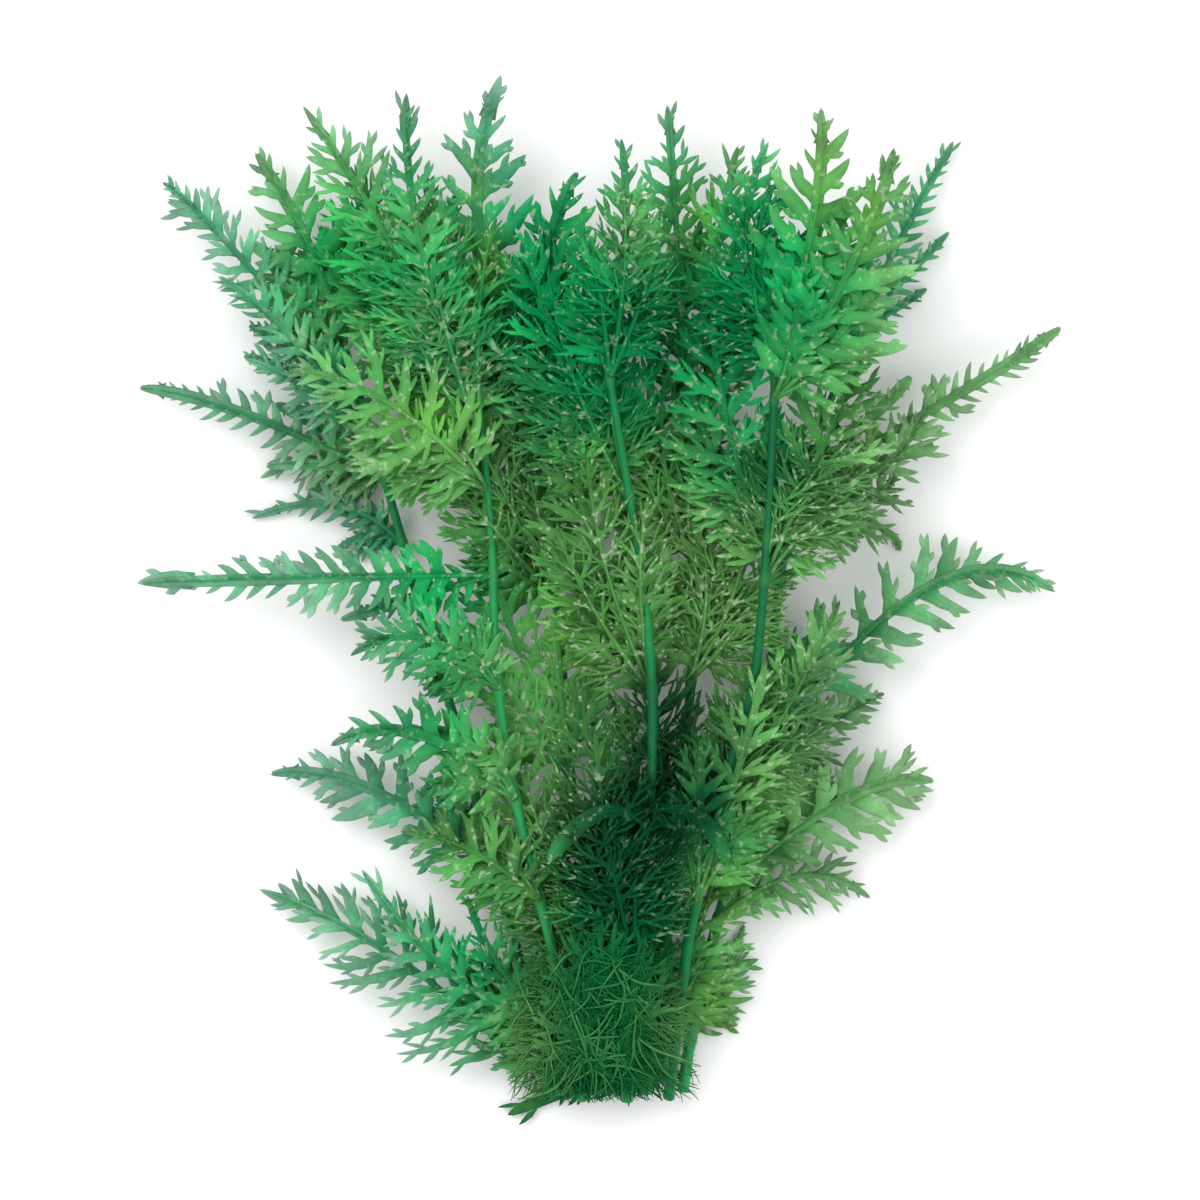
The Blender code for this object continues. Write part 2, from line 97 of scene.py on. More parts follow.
# The order in which stems and leaves lie on one another, from the surface up.
# A leaf starts on its stem at a row. Then come the places of its midrib's middle and of its tip as
# column and row, the reach of its longest lobes in grid steps, its pairs of lobes, its roll to the
# left and its colour.
PILE_ORDER = [
    "root_tuft_low",
    Leaf("far_left", 545, (335, 505), (250, 518), 38, 6, 0.1, "teal"),
    Leaf("far_left", 480, (325, 458), (258, 478), 52, 6, 0.15, "light"),
    Leaf("far_right", 340, (908, 225), (955, 139), 38, 6, 0.15, "teal"),
    Leaf("far_right", 505, (875, 524), (901, 551), 28, 4, 0.0, "light"),
    Leaf("far_right", 1040, (722, 985), (745, 925), 52, 6, 0.1, "light"),
    "far_left",
    "far_right",
    Leaf("far_left", 335, (362, 255), (350, 165), 84, 6, -0.2, "emerald"),
    Leaf("far_left", 355, (308, 245), (254, 151), 80, 7, 0.2, "light"),
    Leaf("far_left", 395, (232, 248), (161, 181), 52, 7, 0.2, "teal"),
    Leaf("far_left", 435, (288, 334), (219, 277), 48, 6, 0.1, "teal"),
    Leaf("far_left", 475, (240, 412), (137, 387), 40, 7, 0.1, "emerald"),
    Leaf("far_left", 1092, (405, 965), (258, 890), 100, 7, 0.15, "emerald"),
    Leaf("far_left", 880, (375, 792), (268, 775), 68, 7, 0.1, "teal"),
    Leaf("far_right", 480, (970, 387), (1063, 326), 38, 7, 0.0, "light"),
    Leaf("far_right", 530, (885, 465), (925, 405), 66, 6, -0.2, "olive"),
    Leaf("far_right", 790, (832, 722), (886, 694), 48, 6, 0.1, "olive"),
    Leaf("far_right", 920, (800, 876), (872, 900), 58, 7, 0.2, "light"),
    Leaf("far_right", 760, (925, 590), (1057, 592), 76, 7, -0.15, "emerald"),
    Leaf("far_right", 890, (845, 800), (936, 782), 84, 7, 0.1, "light"),
    "mid_right",
    "mid_left",
    Leaf("mid_right", 860, (655, 730), (645, 590), 96, 6, 0.1, "light"),
    Leaf("mid_right", 330, (675, 210), (667, 105), 62, 7, 0.1, "emerald"),
    Leaf("mid_right", 420, (715, 260), (738, 146), 76, 7, -0.15, "olive"),
    Leaf("mid_right", 560, (655, 440), (655, 330), 92, 7, 0.15, "olive"),
    Leaf("mid_right", 680, (742, 570), (765, 450), 98, 7, -0.1, "olive"),
    Leaf("mid_left", 390, (478, 225), (501, 75), 92, 7, 0.05, "teal"),
    Leaf("mid_left", 430, (545, 270), (578, 172), 78, 7, -0.2, "emerald"),
    Leaf("mid_left", 470, (445, 335), (400, 230), 90, 7, 0.0, "emerald"),
    Leaf("mid_left", 600, (495, 480), (440, 375), 92, 7, 0.0, "olive"),
    Leaf("mid_left", 780, (520, 650), (480, 540), 94, 6, 0.0, "emerald"),
    Leaf("mid_left", 980, (540, 840), (495, 710), 98, 7, 0.0, "olive"),
    "left",
    Leaf("left", 420, (385, 235), (303, 106), 86, 7, 0.2, "light"),
    Leaf("left", 450, (422, 250), (407, 94), 64, 7, -0.1, "emerald"),
    Leaf("left", 490, (390, 405), (290, 370), 92, 7, 0.2, "light"),
    Leaf("left", 575, (325, 578), (136, 583), 56, 8, -0.1, "emerald"),
    Leaf("left", 690, (425, 638), (350, 656), 68, 7, 0.1, "emerald"),
    Leaf("left", 800, (420, 734), (330, 746), 66, 6, -0.1, "emerald"),
    Leaf("left", 900, (470, 850), (400, 832), 66, 6, 0.15, "olive"),
    Leaf("left", 1040, (452, 975), (361, 870), 66, 7, 0.1, "emerald"),
    Leaf("mid_right", 1040, (705, 910), (735, 790), 94, 7, -0.1, "olive"),
    Leaf("right", 540, (722, 400), (715, 270), 98, 7, 0.2, "emerald"),
    Leaf("right", 580, (820, 450), (865, 355), 96, 7, -0.15, "olive"),
    Leaf("right", 820, (790, 700), (840, 600), 88, 7, -0.1, "olive"),
    "right",
    Leaf("right", 900, (733, 785), (765, 665), 88, 7, -0.15, "light"),
    Leaf("right", 380, (745, 250), (768, 144), 84, 7, 0.15, "emerald"),
    Leaf("right", 350, (812, 230), (820, 109), 94, 7, -0.1, "light"),
    Leaf("right", 400, (850, 270), (893, 150), 90, 7, -0.2, "light"),
    Leaf("middle", 500, (560, 360), (525, 230), 104, 7, 0.2, "emerald"),
    Leaf("middle", 690, (592, 540), (565, 400), 92, 7, 0.15, "olive"),
    "middle",
    Leaf("middle", 380, (625, 250), (621, 141), 70, 7, 0.1, "emerald"),
    # A leaf in the heart of the bunch, in the dark colour of painted shade
    Leaf("middle", 960, (600, 820), (580, 670), 104, 7, 0.0, "dark"),
    Leaf("middle", 828, (600, 812), (547, 862), 20, 4, 0.0, "emerald"),
    Leaf("middle", 812, (697, 815), (727, 864), 20, 4, 0.0, "emerald"),
    "root_tuft",
]

# The roots: one tuft lies under the feet of the stems and one on top of them
ROOT_TUFTS = {
    "root_tuft_low": Leaf("far_right", 1030, (620, 1068), (507, 1118), 54, 6, 0.0, "root"),
    "root_tuft": Leaf("middle", 1092, (604, 1015), (598, 905), 100, 6, 0.0, "root"),
}

# A stem's form: swollen joints, and low ridges along it
JOINT_LENGTH = 0.0016
JOINT_SWELL = 0.3
BETWEEN_JOINTS = 0.94
SHOOT_POINTS = 130
STEM_SIDES = 14
STEM_RIDGED = 0.05

# Each leaf colour at the midrib, in the blade, at the tips, and of its veins
LEAF_COLOURS = {
    "teal": ((0.008, 0.26, 0.1), (0.032, 0.39, 0.175), (0.15, 0.45, 0.26), (0.09, 0.44, 0.23)),
    "emerald": ((0.005, 0.24, 0.07), (0.014, 0.36, 0.115), (0.1, 0.45, 0.2), (0.035, 0.41, 0.145)),
    "light": ((0.025, 0.27, 0.06), (0.125, 0.43, 0.115), (0.24, 0.53, 0.22), (0.2, 0.51, 0.16)),
    "olive": ((0.02, 0.19, 0.045), (0.075, 0.3, 0.075), (0.17, 0.41, 0.14), (0.13, 0.37, 0.1)),
    # The dark colour is painted shade over the leaf's own green, for a leaf in the crowded heart of the bunch
    "dark": ((0.001, 0.045, 0.016), (0.006, 0.105, 0.035), (0.03, 0.22, 0.08), (0.012, 0.16, 0.06)),
}
LEAF_LETS_THROUGH = 0.45
YOUNG_COLOUR = (0.19, 0.43, 0.08)
# Pale specks of painted light, where light shows through small gaps between the leaves: their colour, the
# noise level they start at, how sharp they are, and how much more of them the pale patches show
SPECK_OF_LIGHT_COLOUR = (0.46, 0.64, 0.39)
SPECKS_OF_LIGHT_FROM = 0.605
SPECK_OF_LIGHT_SHARPNESS = 14.0
SPECKS_OF_LIGHT_WHERE_PALE = 0.065

# The colour of leaves at the rim of the bunch, on its left and right, and the columns where it changes
OPEN_COLOUR = (0.34, 0.46, 0.4)
OPEN_COLOUR_RIGHT = (0.33, 0.47, 0.3)
WARM_FROM = 560
WARM_TO = 860

# How fine each pattern is, in turns a metre
PATTERNS = {
    "clouds": 75.0,
    "mottle": 110.0,
    "fresh": 160.0,
    "streaks": 260.0,
    "gloss": 300.0,
    "specks_of_light": 480.0,
    "root grain": 500.0,
    "grain": 900.0,
    "root relief": 1200.0,
    "relief": 1500.0,
}

# What colours a patch, and how strongly. The deep tint is painted shade.
PATCH_TINTS = {
    "aged": ((0.16, 0.44, 0.11), 0.8),
    "lush": ((0.0005, 0.4, 0.108), 0.92),
    "young": ((0.16, 0.48, 0.055), 0.85),
    "deep": ((0.0002, 0.076, 0.024), 0.97),
    "pale": ((0.28, 0.6, 0.17), 0.36),
}

# Soft patches on the layout grid: the column and row of the middle, half width, half height and strength
PATCHES = {
    "pale": [
        (678, 528, 48, 44, 1.0), (325, 325, 44, 40, 0.8), (780, 778, 34, 34, 1.0), (625, 225, 36, 36, 0.9),
        (825, 525, 44, 36, 0.9), (875, 440, 44, 50, 1.0), (725, 640, 44, 60, 0.8), (425, 225, 40, 34, 0.8),
        (780, 630, 34, 44, 0.7), (475, 375, 40, 34, 0.6), (430, 320, 44, 40, 0.7), (518, 1045, 38, 60, 1.0),
        (335, 465, 54, 38, 0.9), (370, 225, 36, 34, 0.4), (525, 930, 34, 40, 0.6), (730, 930, 30, 34, 0.6),
        (684, 1025, 30, 44, 0.9), (620, 670, 40, 34, 0.5),
    ],
    # The deep patches are painted shade: dark green where leaves and stems crowd and shade one another, most
    # of all in the heart of the bunch and at its foot
    "deep": [
        (620, 895, 55, 70, 1.0), (600, 1060, 90, 50, 0.8), (648, 740, 38, 60, 0.8), (768, 470, 60, 24, 0.7),
        (650, 800, 75, 22, 0.55), (660, 690, 50, 26, 0.7), (590, 990, 80, 50, 0.6), (600, 350, 100, 60, 0.35),
        (585, 600, 22, 60, 0.4), (660, 330, 50, 110, 0.3), (525, 470, 36, 55, 0.3),
        (630, 835, 100, 34, 0.45), (712, 765, 50, 110, 0.75), (775, 325, 50, 55, 0.5),
    ],
    "lush": [
        (350, 265, 80, 80, 1.2), (570, 310, 125, 90, 1.0), (775, 290, 85, 85, 1.1), (430, 585, 90, 35, 0.9),
        (395, 730, 70, 30, 0.9), (600, 960, 120, 90, 0.8), (620, 400, 60, 60, 0.8), (470, 1020, 60, 40, 0.8),
        (730, 480, 80, 30, 0.6), (720, 840, 60, 30, 0.5),
    ],
    "young": [
        (490, 262, 16, 32, 0.9), (472, 180, 16, 30, 0.8), (820, 160, 20, 55, 0.8), (870, 220, 16, 36, 0.8),
        (700, 215, 20, 40, 0.5), (440, 415, 50, 25, 0.6), (560, 640, 45, 60, 0.5), (720, 1010, 30, 40, 0.9),
        (720, 900, 30, 40, 0.7), (760, 800, 40, 26, 0.4), (540, 900, 22, 35, 0.6), (610, 470, 40, 40, 0.4),
    ],
    "aged": [
        (560, 620, 110, 150, 0.9), (510, 790, 70, 90, 0.9), (455, 440, 80, 50, 0.9), (720, 620, 70, 110, 0.8),
        (750, 830, 60, 90, 0.7), (660, 250, 45, 70, 0.7), (711, 1020, 25, 25, 1.0), (670, 470, 70, 60, 0.7),
        (850, 590, 60, 60, 0.5),
    ],
}

# The dense core of the bunch: a row of the layout and the columns of its left and right side
CORE_SIDES = [
    (150, 330, 860), (300, 310, 850), (450, 390, 840), (600, 430, 790),
    (800, 450, 770), (950, 460, 710), (1100, 540, 680),
]
CORE_TOP = 210
OPEN_WITHIN = 110

# Thread clouds on the roots: the piece, its tuft's solid, the middle column and row, half width and half
# height of where the threads start, their number, and how far they pile up
THREAD_CLOUDS = [
    ("roots_below", "root_tuft_low", (600, 1070), (80, 30), 200, 0.0004),
    ("roots_above", "root_tuft", (592, 1010), (76, 80), 700, 0.0012),
]
THREAD_STEPS = 9
THREAD_SIDES = 4
THREAD_SMOOTHED = 3
SHORTEST_THREAD = 4
WAVE_STEP = 1.1
THREAD_TAPER = (0, 0.4, 1), (0.7, 1, 0.25)
PALE_THREADS = 0.16

# Where the threads end: a row, and the left and right column at rows
LAST_THREAD_ROW = 1103
ROOT_SIDES = [(920, 545, 665), (1000, 500, 700), (1103, 506, 702)]
MATTER_SWINGS = {"root_tuft": [0.5, 0.34, 0.17, 0.0, -0.14, -0.27], "root_tuft_low": [0.0]}

STEM_COLOURS = [
    (0.0, (0.0005, 0.068, 0.02)),
    (0.5, (0.003, 0.16, 0.044)),
    (1.0, (0.025, 0.29, 0.08)),
]
# Root colours, nearly black-green at the low end: partly painted shade at the foot of the bunch
ROOT_COLOURS = [
    (0.0, (0.0008, 0.082, 0.02)),
    (0.6, (0.005, 0.14, 0.036)),
    (0.75, (0.018, 0.175, 0.046)),
    (1.0, (0.045, 0.22, 0.062)),
]

# How light each stem is, from 0 to 1, and how much lighter its foot is
STEM_SHADES = {
    "far_left": 0.45, "far_right": 0.45, "mid_right": 0.5, "mid_left": 0.55,
    "left": 0.62, "right": 0.05, "middle": 0.4,
}
FOOT_LIGHTER = 0.6
FOOT_FADES = 1.4
STEM_JOINT_COLOUR = (0.04, 0.21, 0.055)
PALE_ROOTS = 0.3

# Stage
FLOOR_SIZE = 30.0
FLOOR_LEVEL = -0.0002
FLOOR_GREY = 0.86
WORLD_LIGHT = 1.02
SOFT_LIGHTS = [("key", (-0.5, 0.5, 1.3), 1.0, 11.0), ("fill", (0.8, -0.4, 1.4), 1.2, 6.0)]
LENS = 400.0
FRAME_PIXELS = 1200
FOCUS_HEIGHT = 0.02

# Cut of a leaf: width of a lobe's own strip, width and length of its segments, how far apart they are,
# the angle that they leave it at, and the most that lobes are apart. Lengths are in metres.
Cut = namedtuple("Cut", "strip segment reach apart angle lobes_apart")
CUTS = {
    "fine": Cut(0.003, 0.0016, 0.005, 0.005, math.radians(30), 0.008),
    "broad": Cut(0.0048, 0.0022, 0.0036, 0.0078, math.radians(26), 0.0084),
    "needle": Cut(0.0011, 0.0009, 0.0058, 0.0036, math.radians(32), 0.006),
    "band": Cut(0.0066, 0.0016, 0.0018, 0.004, math.radians(22), 0.0044),
}
LEAST_LOBES_APART = 0.0042
LOBES_APART_SHARE = 0.36
LOBE_MARGIN = 0.04
SLENDER = 0.3
WAIST = 0.28
WAIST_AT = 0.14
WAIST_SPAN = 0.12
PLAIN_LOBE = 0.0045
END_LOBE_FROM = TOP_SHARE - 0.08
TIP_BLADE_WIDER = 1.5
WEB_HALF = 0.0011
WEB_WIDENS = 1.2
WEB_END = 0.985
WEB_ROWS = 26

# How far values are spread by chance
SPREAD = {
    "lobe angle": (0.85, 1.1),
    "lobe length": (0.78, 1.05),
    "curve": (-0.01, 0.11),
    "end curve": (-0.04, 0.04),
    "width": (0.8, 1.25),
    "twist": (-0.1, 0.1),
    "droop": (-0.04, 0.05),
    "place": (-0.08, 0.08),
    "segment angle": (0.75, 1.25),
    "segment width": (0.75, 1.2),
    "segment length": (0.55, 1.3),
    "lot": (0.4, 1.0),
    "needle lot": (0.0, 0.6),
    "thread curl": (-1.5, 1.5),
    "thread wave": (0.05, 0.25),
    "thread length": (50, 120),
    "pale thread radius": (0.0003, 0.00045),
    "dark thread radius": (0.00018, 0.00036),
    "pale thread lot": (0.65, 1),
    "dark thread lot": (0, 0.7),
}

# A lobe's segments: how far they lean forward, shares of their length and width at their rows, how many
# pairs there are, and how many are missing up to a share of the lobe. Then the rows of a lobe's end.
SEGMENT_LEAN = 0.18
SEGMENT_ROWS = ((0.4, 1.0), (0.75, 0.66))
MOST_SEGMENT_PAIRS = 5
LAST_SEGMENT = 0.9
SKIPPED_SEGMENTS = 0.12
NONE_SKIPPED_FROM = 0.8
PLAIN_END = (0.3, 0.55, 0.8)
CUT_END = (0.6,)

# The leaves that aren't finely cut
CUT_OTHERWISE = {
    "broad": {
        "right_06", "right_07", "mid_left_01", "mid_left_02", "far_left_04", "far_left_07", "far_left_09",
        "left_04", "left_06", "far_right_04", "far_right_08", "far_right_09",
    },
    "band": {"middle_05", "middle_06"},
    "needle": {"middle_04"},
}

# Young leaves as fine as hair that stand in a fan over these leaves: how far each one swings, its
# share of the leaf's length, and how far it rises
FANNED_LEAVES = {
    "right_02", "right_03", "mid_right_01", "mid_right_04", "mid_right_05", "mid_left_04", "mid_left_06",
    "middle_02", "middle_01", "middle_03", "right_05", "far_left_03", "mid_left_02", "mid_left_03", "left_01",
    "left_02", "middle_04",
}
FAN = [(-0.27, 0.64, 0.0016), (-0.02, 0.8, 0.0026), (0.24, 0.62, 0.002)]

# Where a piece comes near the surface that the bunch lies on, it eases off to this least height
EASE_FROM = 0.002
LEAST_HEIGHT = 0.0003

BLADE_THICKNESS = 0.0003
GUTTER = 0.12
MIDRIB_RADIUS = 0.0007
MIDRIB_TIP_SHARE = 0.3
MIDRIB_STANDS_OUT = 0.0001
MIDRIB_FROM = 0.04
MIDRIB_END = 0.97
MIDRIB_POINTS = 27
MIDRIB_SIDES = 6
ALTERNATE = 0.3
RISES_BY = 6

# The fellows of a leaf: how far each one swings towards the middle of the bunch, its share of the
# leaf's length, how far it rises, and how open the place of its tip may be
FELLOW_SWING = math.radians(15)
FELLOWS = [
    (FELLOW_SWING, 0.66, -0.001, 0.5),
    (FELLOW_SWING, 0.45, -0.001, 0.9),
    (-0.9 * FELLOW_SWING, 0.5, -0.0018, 0.3),
    (1.9 * FELLOW_SWING, 0.42, -0.0026, 0.0),
]


def on_plan(column, row):
    """A place on the layout grid as x and y in metres."""
    return np.array([(column - MIDDLE_COLUMN) * GRID_STEP, (MIDDLE_ROW - row) * GRID_STEP])


def off_plan(places):
    """Columns and rows of the layout grid of places in metres."""
    return places[:, 0] / GRID_STEP + MIDDLE_COLUMN, MIDDLE_ROW - places[:, 1] / GRID_STEP


def patches(columns, rows, ovals):
    """How strongly soft oval patches colour each place, from 0 to 1."""
    total = np.zeros(len(columns))
    for column, row, half_width, half_height, strength in ovals:
        across, down = (columns - column) / half_width, (rows - row) / half_height
        total += strength * np.exp(-(across**2) - down**2)
    return np.minimum(total, 1)


def sides_at(rows, table):
    """The columns of the left and right side at rows, from a table of rows and both columns."""
    at, left, right = np.array(table, float).T
    return np.interp(rows, at, left), np.interp(rows, at, right)


def openness(columns, rows):
    """How far each place is outside the dense core of the bunch, from 0 to 1."""
    left, right = sides_at(rows, CORE_SIDES)
    beyond = np.maximum.reduce([left - columns, columns - right, CORE_TOP - rows])
    return np.clip(beyond / OPEN_WITHIN, 0, 1)


def above_surface(height):
    """A height, eased off where it comes near the surface that the bunch lies on."""
    ease = EASE_FROM - LEAST_HEIGHT
    return height if height > EASE_FROM else LEAST_HEIGHT + ease * math.exp((height - EASE_FROM) / ease)


def unit(vector):
    return vector / np.linalg.norm(vector)


def turned(way, angle):
    """A direction in plan, turned to the left by an angle."""
    c, s = math.cos(angle), math.sin(angle)
    return np.array([way[0] * c - way[1] * s, way[0] * s + way[1] * c])


def smooth_route(points, count):
    """count points on a smooth curve through the given ones."""
    points = np.array(points, float)
    ends = np.vstack([2 * points[0] - points[1], points, 2 * points[-1] - points[-2]])
    found = []
    for t in np.linspace(0, len(points) - 1, count):
        i = min(int(t), len(points) - 2)
        u = t - i
        a, b, c, d = ends[i : i + 4]
        found.append(b + u * ((c - a) + u * ((2 * a - 5 * b + 4 * c - d) + u * (3 * (b - c) + d - a))) / 2)
    return np.array(found)


def smoothed(heights):
    """Heights along a line, each one but the ends averaged with its neighbours."""
    return np.array([heights[0], *(heights[:-2] + heights[1:-1] + heights[2:]) / 3, heights[-1]])


def outline_share(t):
    """A lobe's share of the longest one's length, at t from the lowest pair, 0, to the highest, 1."""
    swell = LOWEST_LOBE + (1 - LOWEST_LOBE) * math.sin(math.pi * (SWELL_FROM + SWELL_SPAN * t))
    return swell * (1 - TOP_TAPER * t**TAPER_POWER)


class Solid:
    """A node of the frame, asked for the height halfway through it."""

    FAR = 1.0
    TRIES = (0, 0.02, 0.05, 0.1, 0.2)

    def __init__(self, node):
        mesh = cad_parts[node].data
        corners = [corner.co for corner in mesh.vertices]
        self.tree = BVHTree.FromPolygons(corners, [face.vertices for face in mesh.polygons])

    def middle(self, place):
        """The height halfway through the solid at a place in plan, or None beside it."""
        top = self.tree.ray_cast(Vector((*place, self.FAR)), Vector((0, 0, -1)))[0]
        bottom = self.tree.ray_cast(Vector((*place, -self.FAR)), Vector((0, 0, 1)))[0]
        return None if top is None or bottom is None else (top.z + bottom.z) / 2

    def along(self, places):
        """The heights at places along a line, each one looked for a little way towards its neighbours."""
        found = []
        for i, place in enumerate(places):
            near = places[i + 1] if i + 1 < len(places) else places[i - 1]
            tries = [self.middle(place + share * (near - place)) for share in self.TRIES]
            tries = [height for height in tries if height is not None]
            found.append(tries[0] if tries else self.tree.find_nearest(Vector((*place, 0)))[0].z)
        return np.array(found)


class Mesh:
    """A mesh in the making. Each corner also keeps what the materials read."""

    READ = ("along", "outward", "vein", "lot")
    RIDGES = 4

    def __init__(self, lot_share=1.0):
        self.lot_share = lot_share
        self.corners, self.read, self.faces = [], [], []

    def corner(self, place, along, outward, vein, lot):
        self.corners.append((place[0], place[1], above_surface(place[2])))
        self.read.append((along, outward, vein, lot * self.lot_share))
        return len(self.corners) - 1

    def tube(self, points, radii, sides, read, flat=1.0, ridged=0.0):
        """A closed round tube along points. read gives along, outward, vein and lot at a share of it."""
        points = np.array(points)
        ways = np.gradient(points, axis=0)
        rings = []
        for i, (point, way, radius) in enumerate(zip(points, ways, radii)):
            way = unit(way)
            side = unit(np.cross(way, (0, 0, 1)))
            up = np.cross(side, way)
            values = read(i / (len(points) - 1))
            ring = []
            for turn in np.linspace(0, 2 * math.pi, sides, endpoint=False):
                reach = radius * (1 + ridged * math.cos(self.RIDGES * turn))
                place = point + reach * (math.cos(turn) * side + flat * math.sin(turn) * up)
                ring.append(self.corner(place, *values))
            rings.append(ring)
        for low, high in zip(rings, rings[1:]):
            for i in range(sides):
                j = (i + 1) % sides
                self.faces.append((low[i], low[j], high[j], high[i]))
        self.faces.append(tuple(reversed(rings[0])))
        self.faces.append(tuple(rings[-1]))

    def strip(self, first, second):
        """The faces between two rows of three corners: left, middle, right."""
        for i in (0, 1):
            self.faces.append((first[i], first[i + 1], second[i + 1], second[i]))

    def point_off(self, row, tip):
        """The faces between the last row and the tip."""
        self.faces += [(row[0], row[1], tip), (row[1], row[2], tip)]

    def finish(self, name):
        """The object: smooth shaded, with the values that its materials read."""
        data = bpy.data.meshes.new(name)
        data.from_pydata(self.corners, [], self.faces)
        columns, rows = off_plan(np.array(self.corners))
        values = dict(zip(self.READ, np.array(self.read).T))
        for kind, ovals in PATCHES.items():
            values[kind] = patches(columns, rows, ovals)
        values["open"] = openness(columns, rows)
        values["rightward"] = np.clip((columns - WARM_FROM) / (WARM_TO - WARM_FROM), 0, 1)
        for kind, weights in values.items():
            layer = data.attributes.new(kind, "FLOAT", "POINT")
            layer.data.foreach_set("value", weights.astype(np.float32))
        data.shade_smooth()
        data.validate()
        piece = bpy.data.objects.new(name, data)
        bpy.context.scene.collection.objects.link(piece)
        return piece


class Stem:
    """A stem's centre line, on the solid that it replaces."""

    def __init__(self, name):
        self.name = "stem_" + name
        plan = smooth_route([on_plan(*place) for place in STEMS[name]], STEM_POINTS)
        self.line = np.column_stack([plan, Solid(self.name).along(plan)])

    def at_row(self, row):
        """The point of the centre line at a row of the layout grid."""
        y = on_plan(0, row)[1]
        return np.array([np.interp(y, self.line[:, 1], self.line[:, axis]) for axis in range(3)])


class Rib:
    """A leaf's midrib: a curve in plan, at the heights of the solid that the leaf replaces."""

    SAMPLES = 41

    def __init__(self, name, leaf, stem, swing=0.0, scale=1.0, rise=0.0):
        self.leaf = leaf
        self.scale = scale**0.5
        self.root = stem.at_row(leaf.row)
        self.start = self.root[:2]
        middle, self.tip = on_plan(*leaf.middle), on_plan(*leaf.tip)
        self.bend = 2 * middle - (self.start + self.tip) / 2
        shares = np.array([0, *np.linspace(STALK_SHARE, TOP_SHARE, leaf.pairs + 1), 1])
        stations = Solid(name).along([self.place(share) for share in shares])
        self.fine = np.linspace(0, 1, self.SAMPLES)
        heights = smoothed(np.interp(self.fine, shares, stations))
        self.heights = heights + rise * np.minimum(1, RISES_BY * self.fine)
        self.bend = self.start + turned(self.bend - self.start, swing) * scale
        self.tip = self.start + turned(self.tip - self.start, swing) * scale
        self.length = np.linalg.norm(self.tip - self.start)

    def place(self, share):
        return (1 - share) ** 2 * self.start + 2 * share * (1 - share) * self.bend + share**2 * self.tip

    def way(self, share):
        return unit((1 - share) * (self.bend - self.start) + share * (self.tip - self.bend))

    def point(self, share):
        return np.array([*self.place(share), np.interp(share, self.fine, self.heights)])


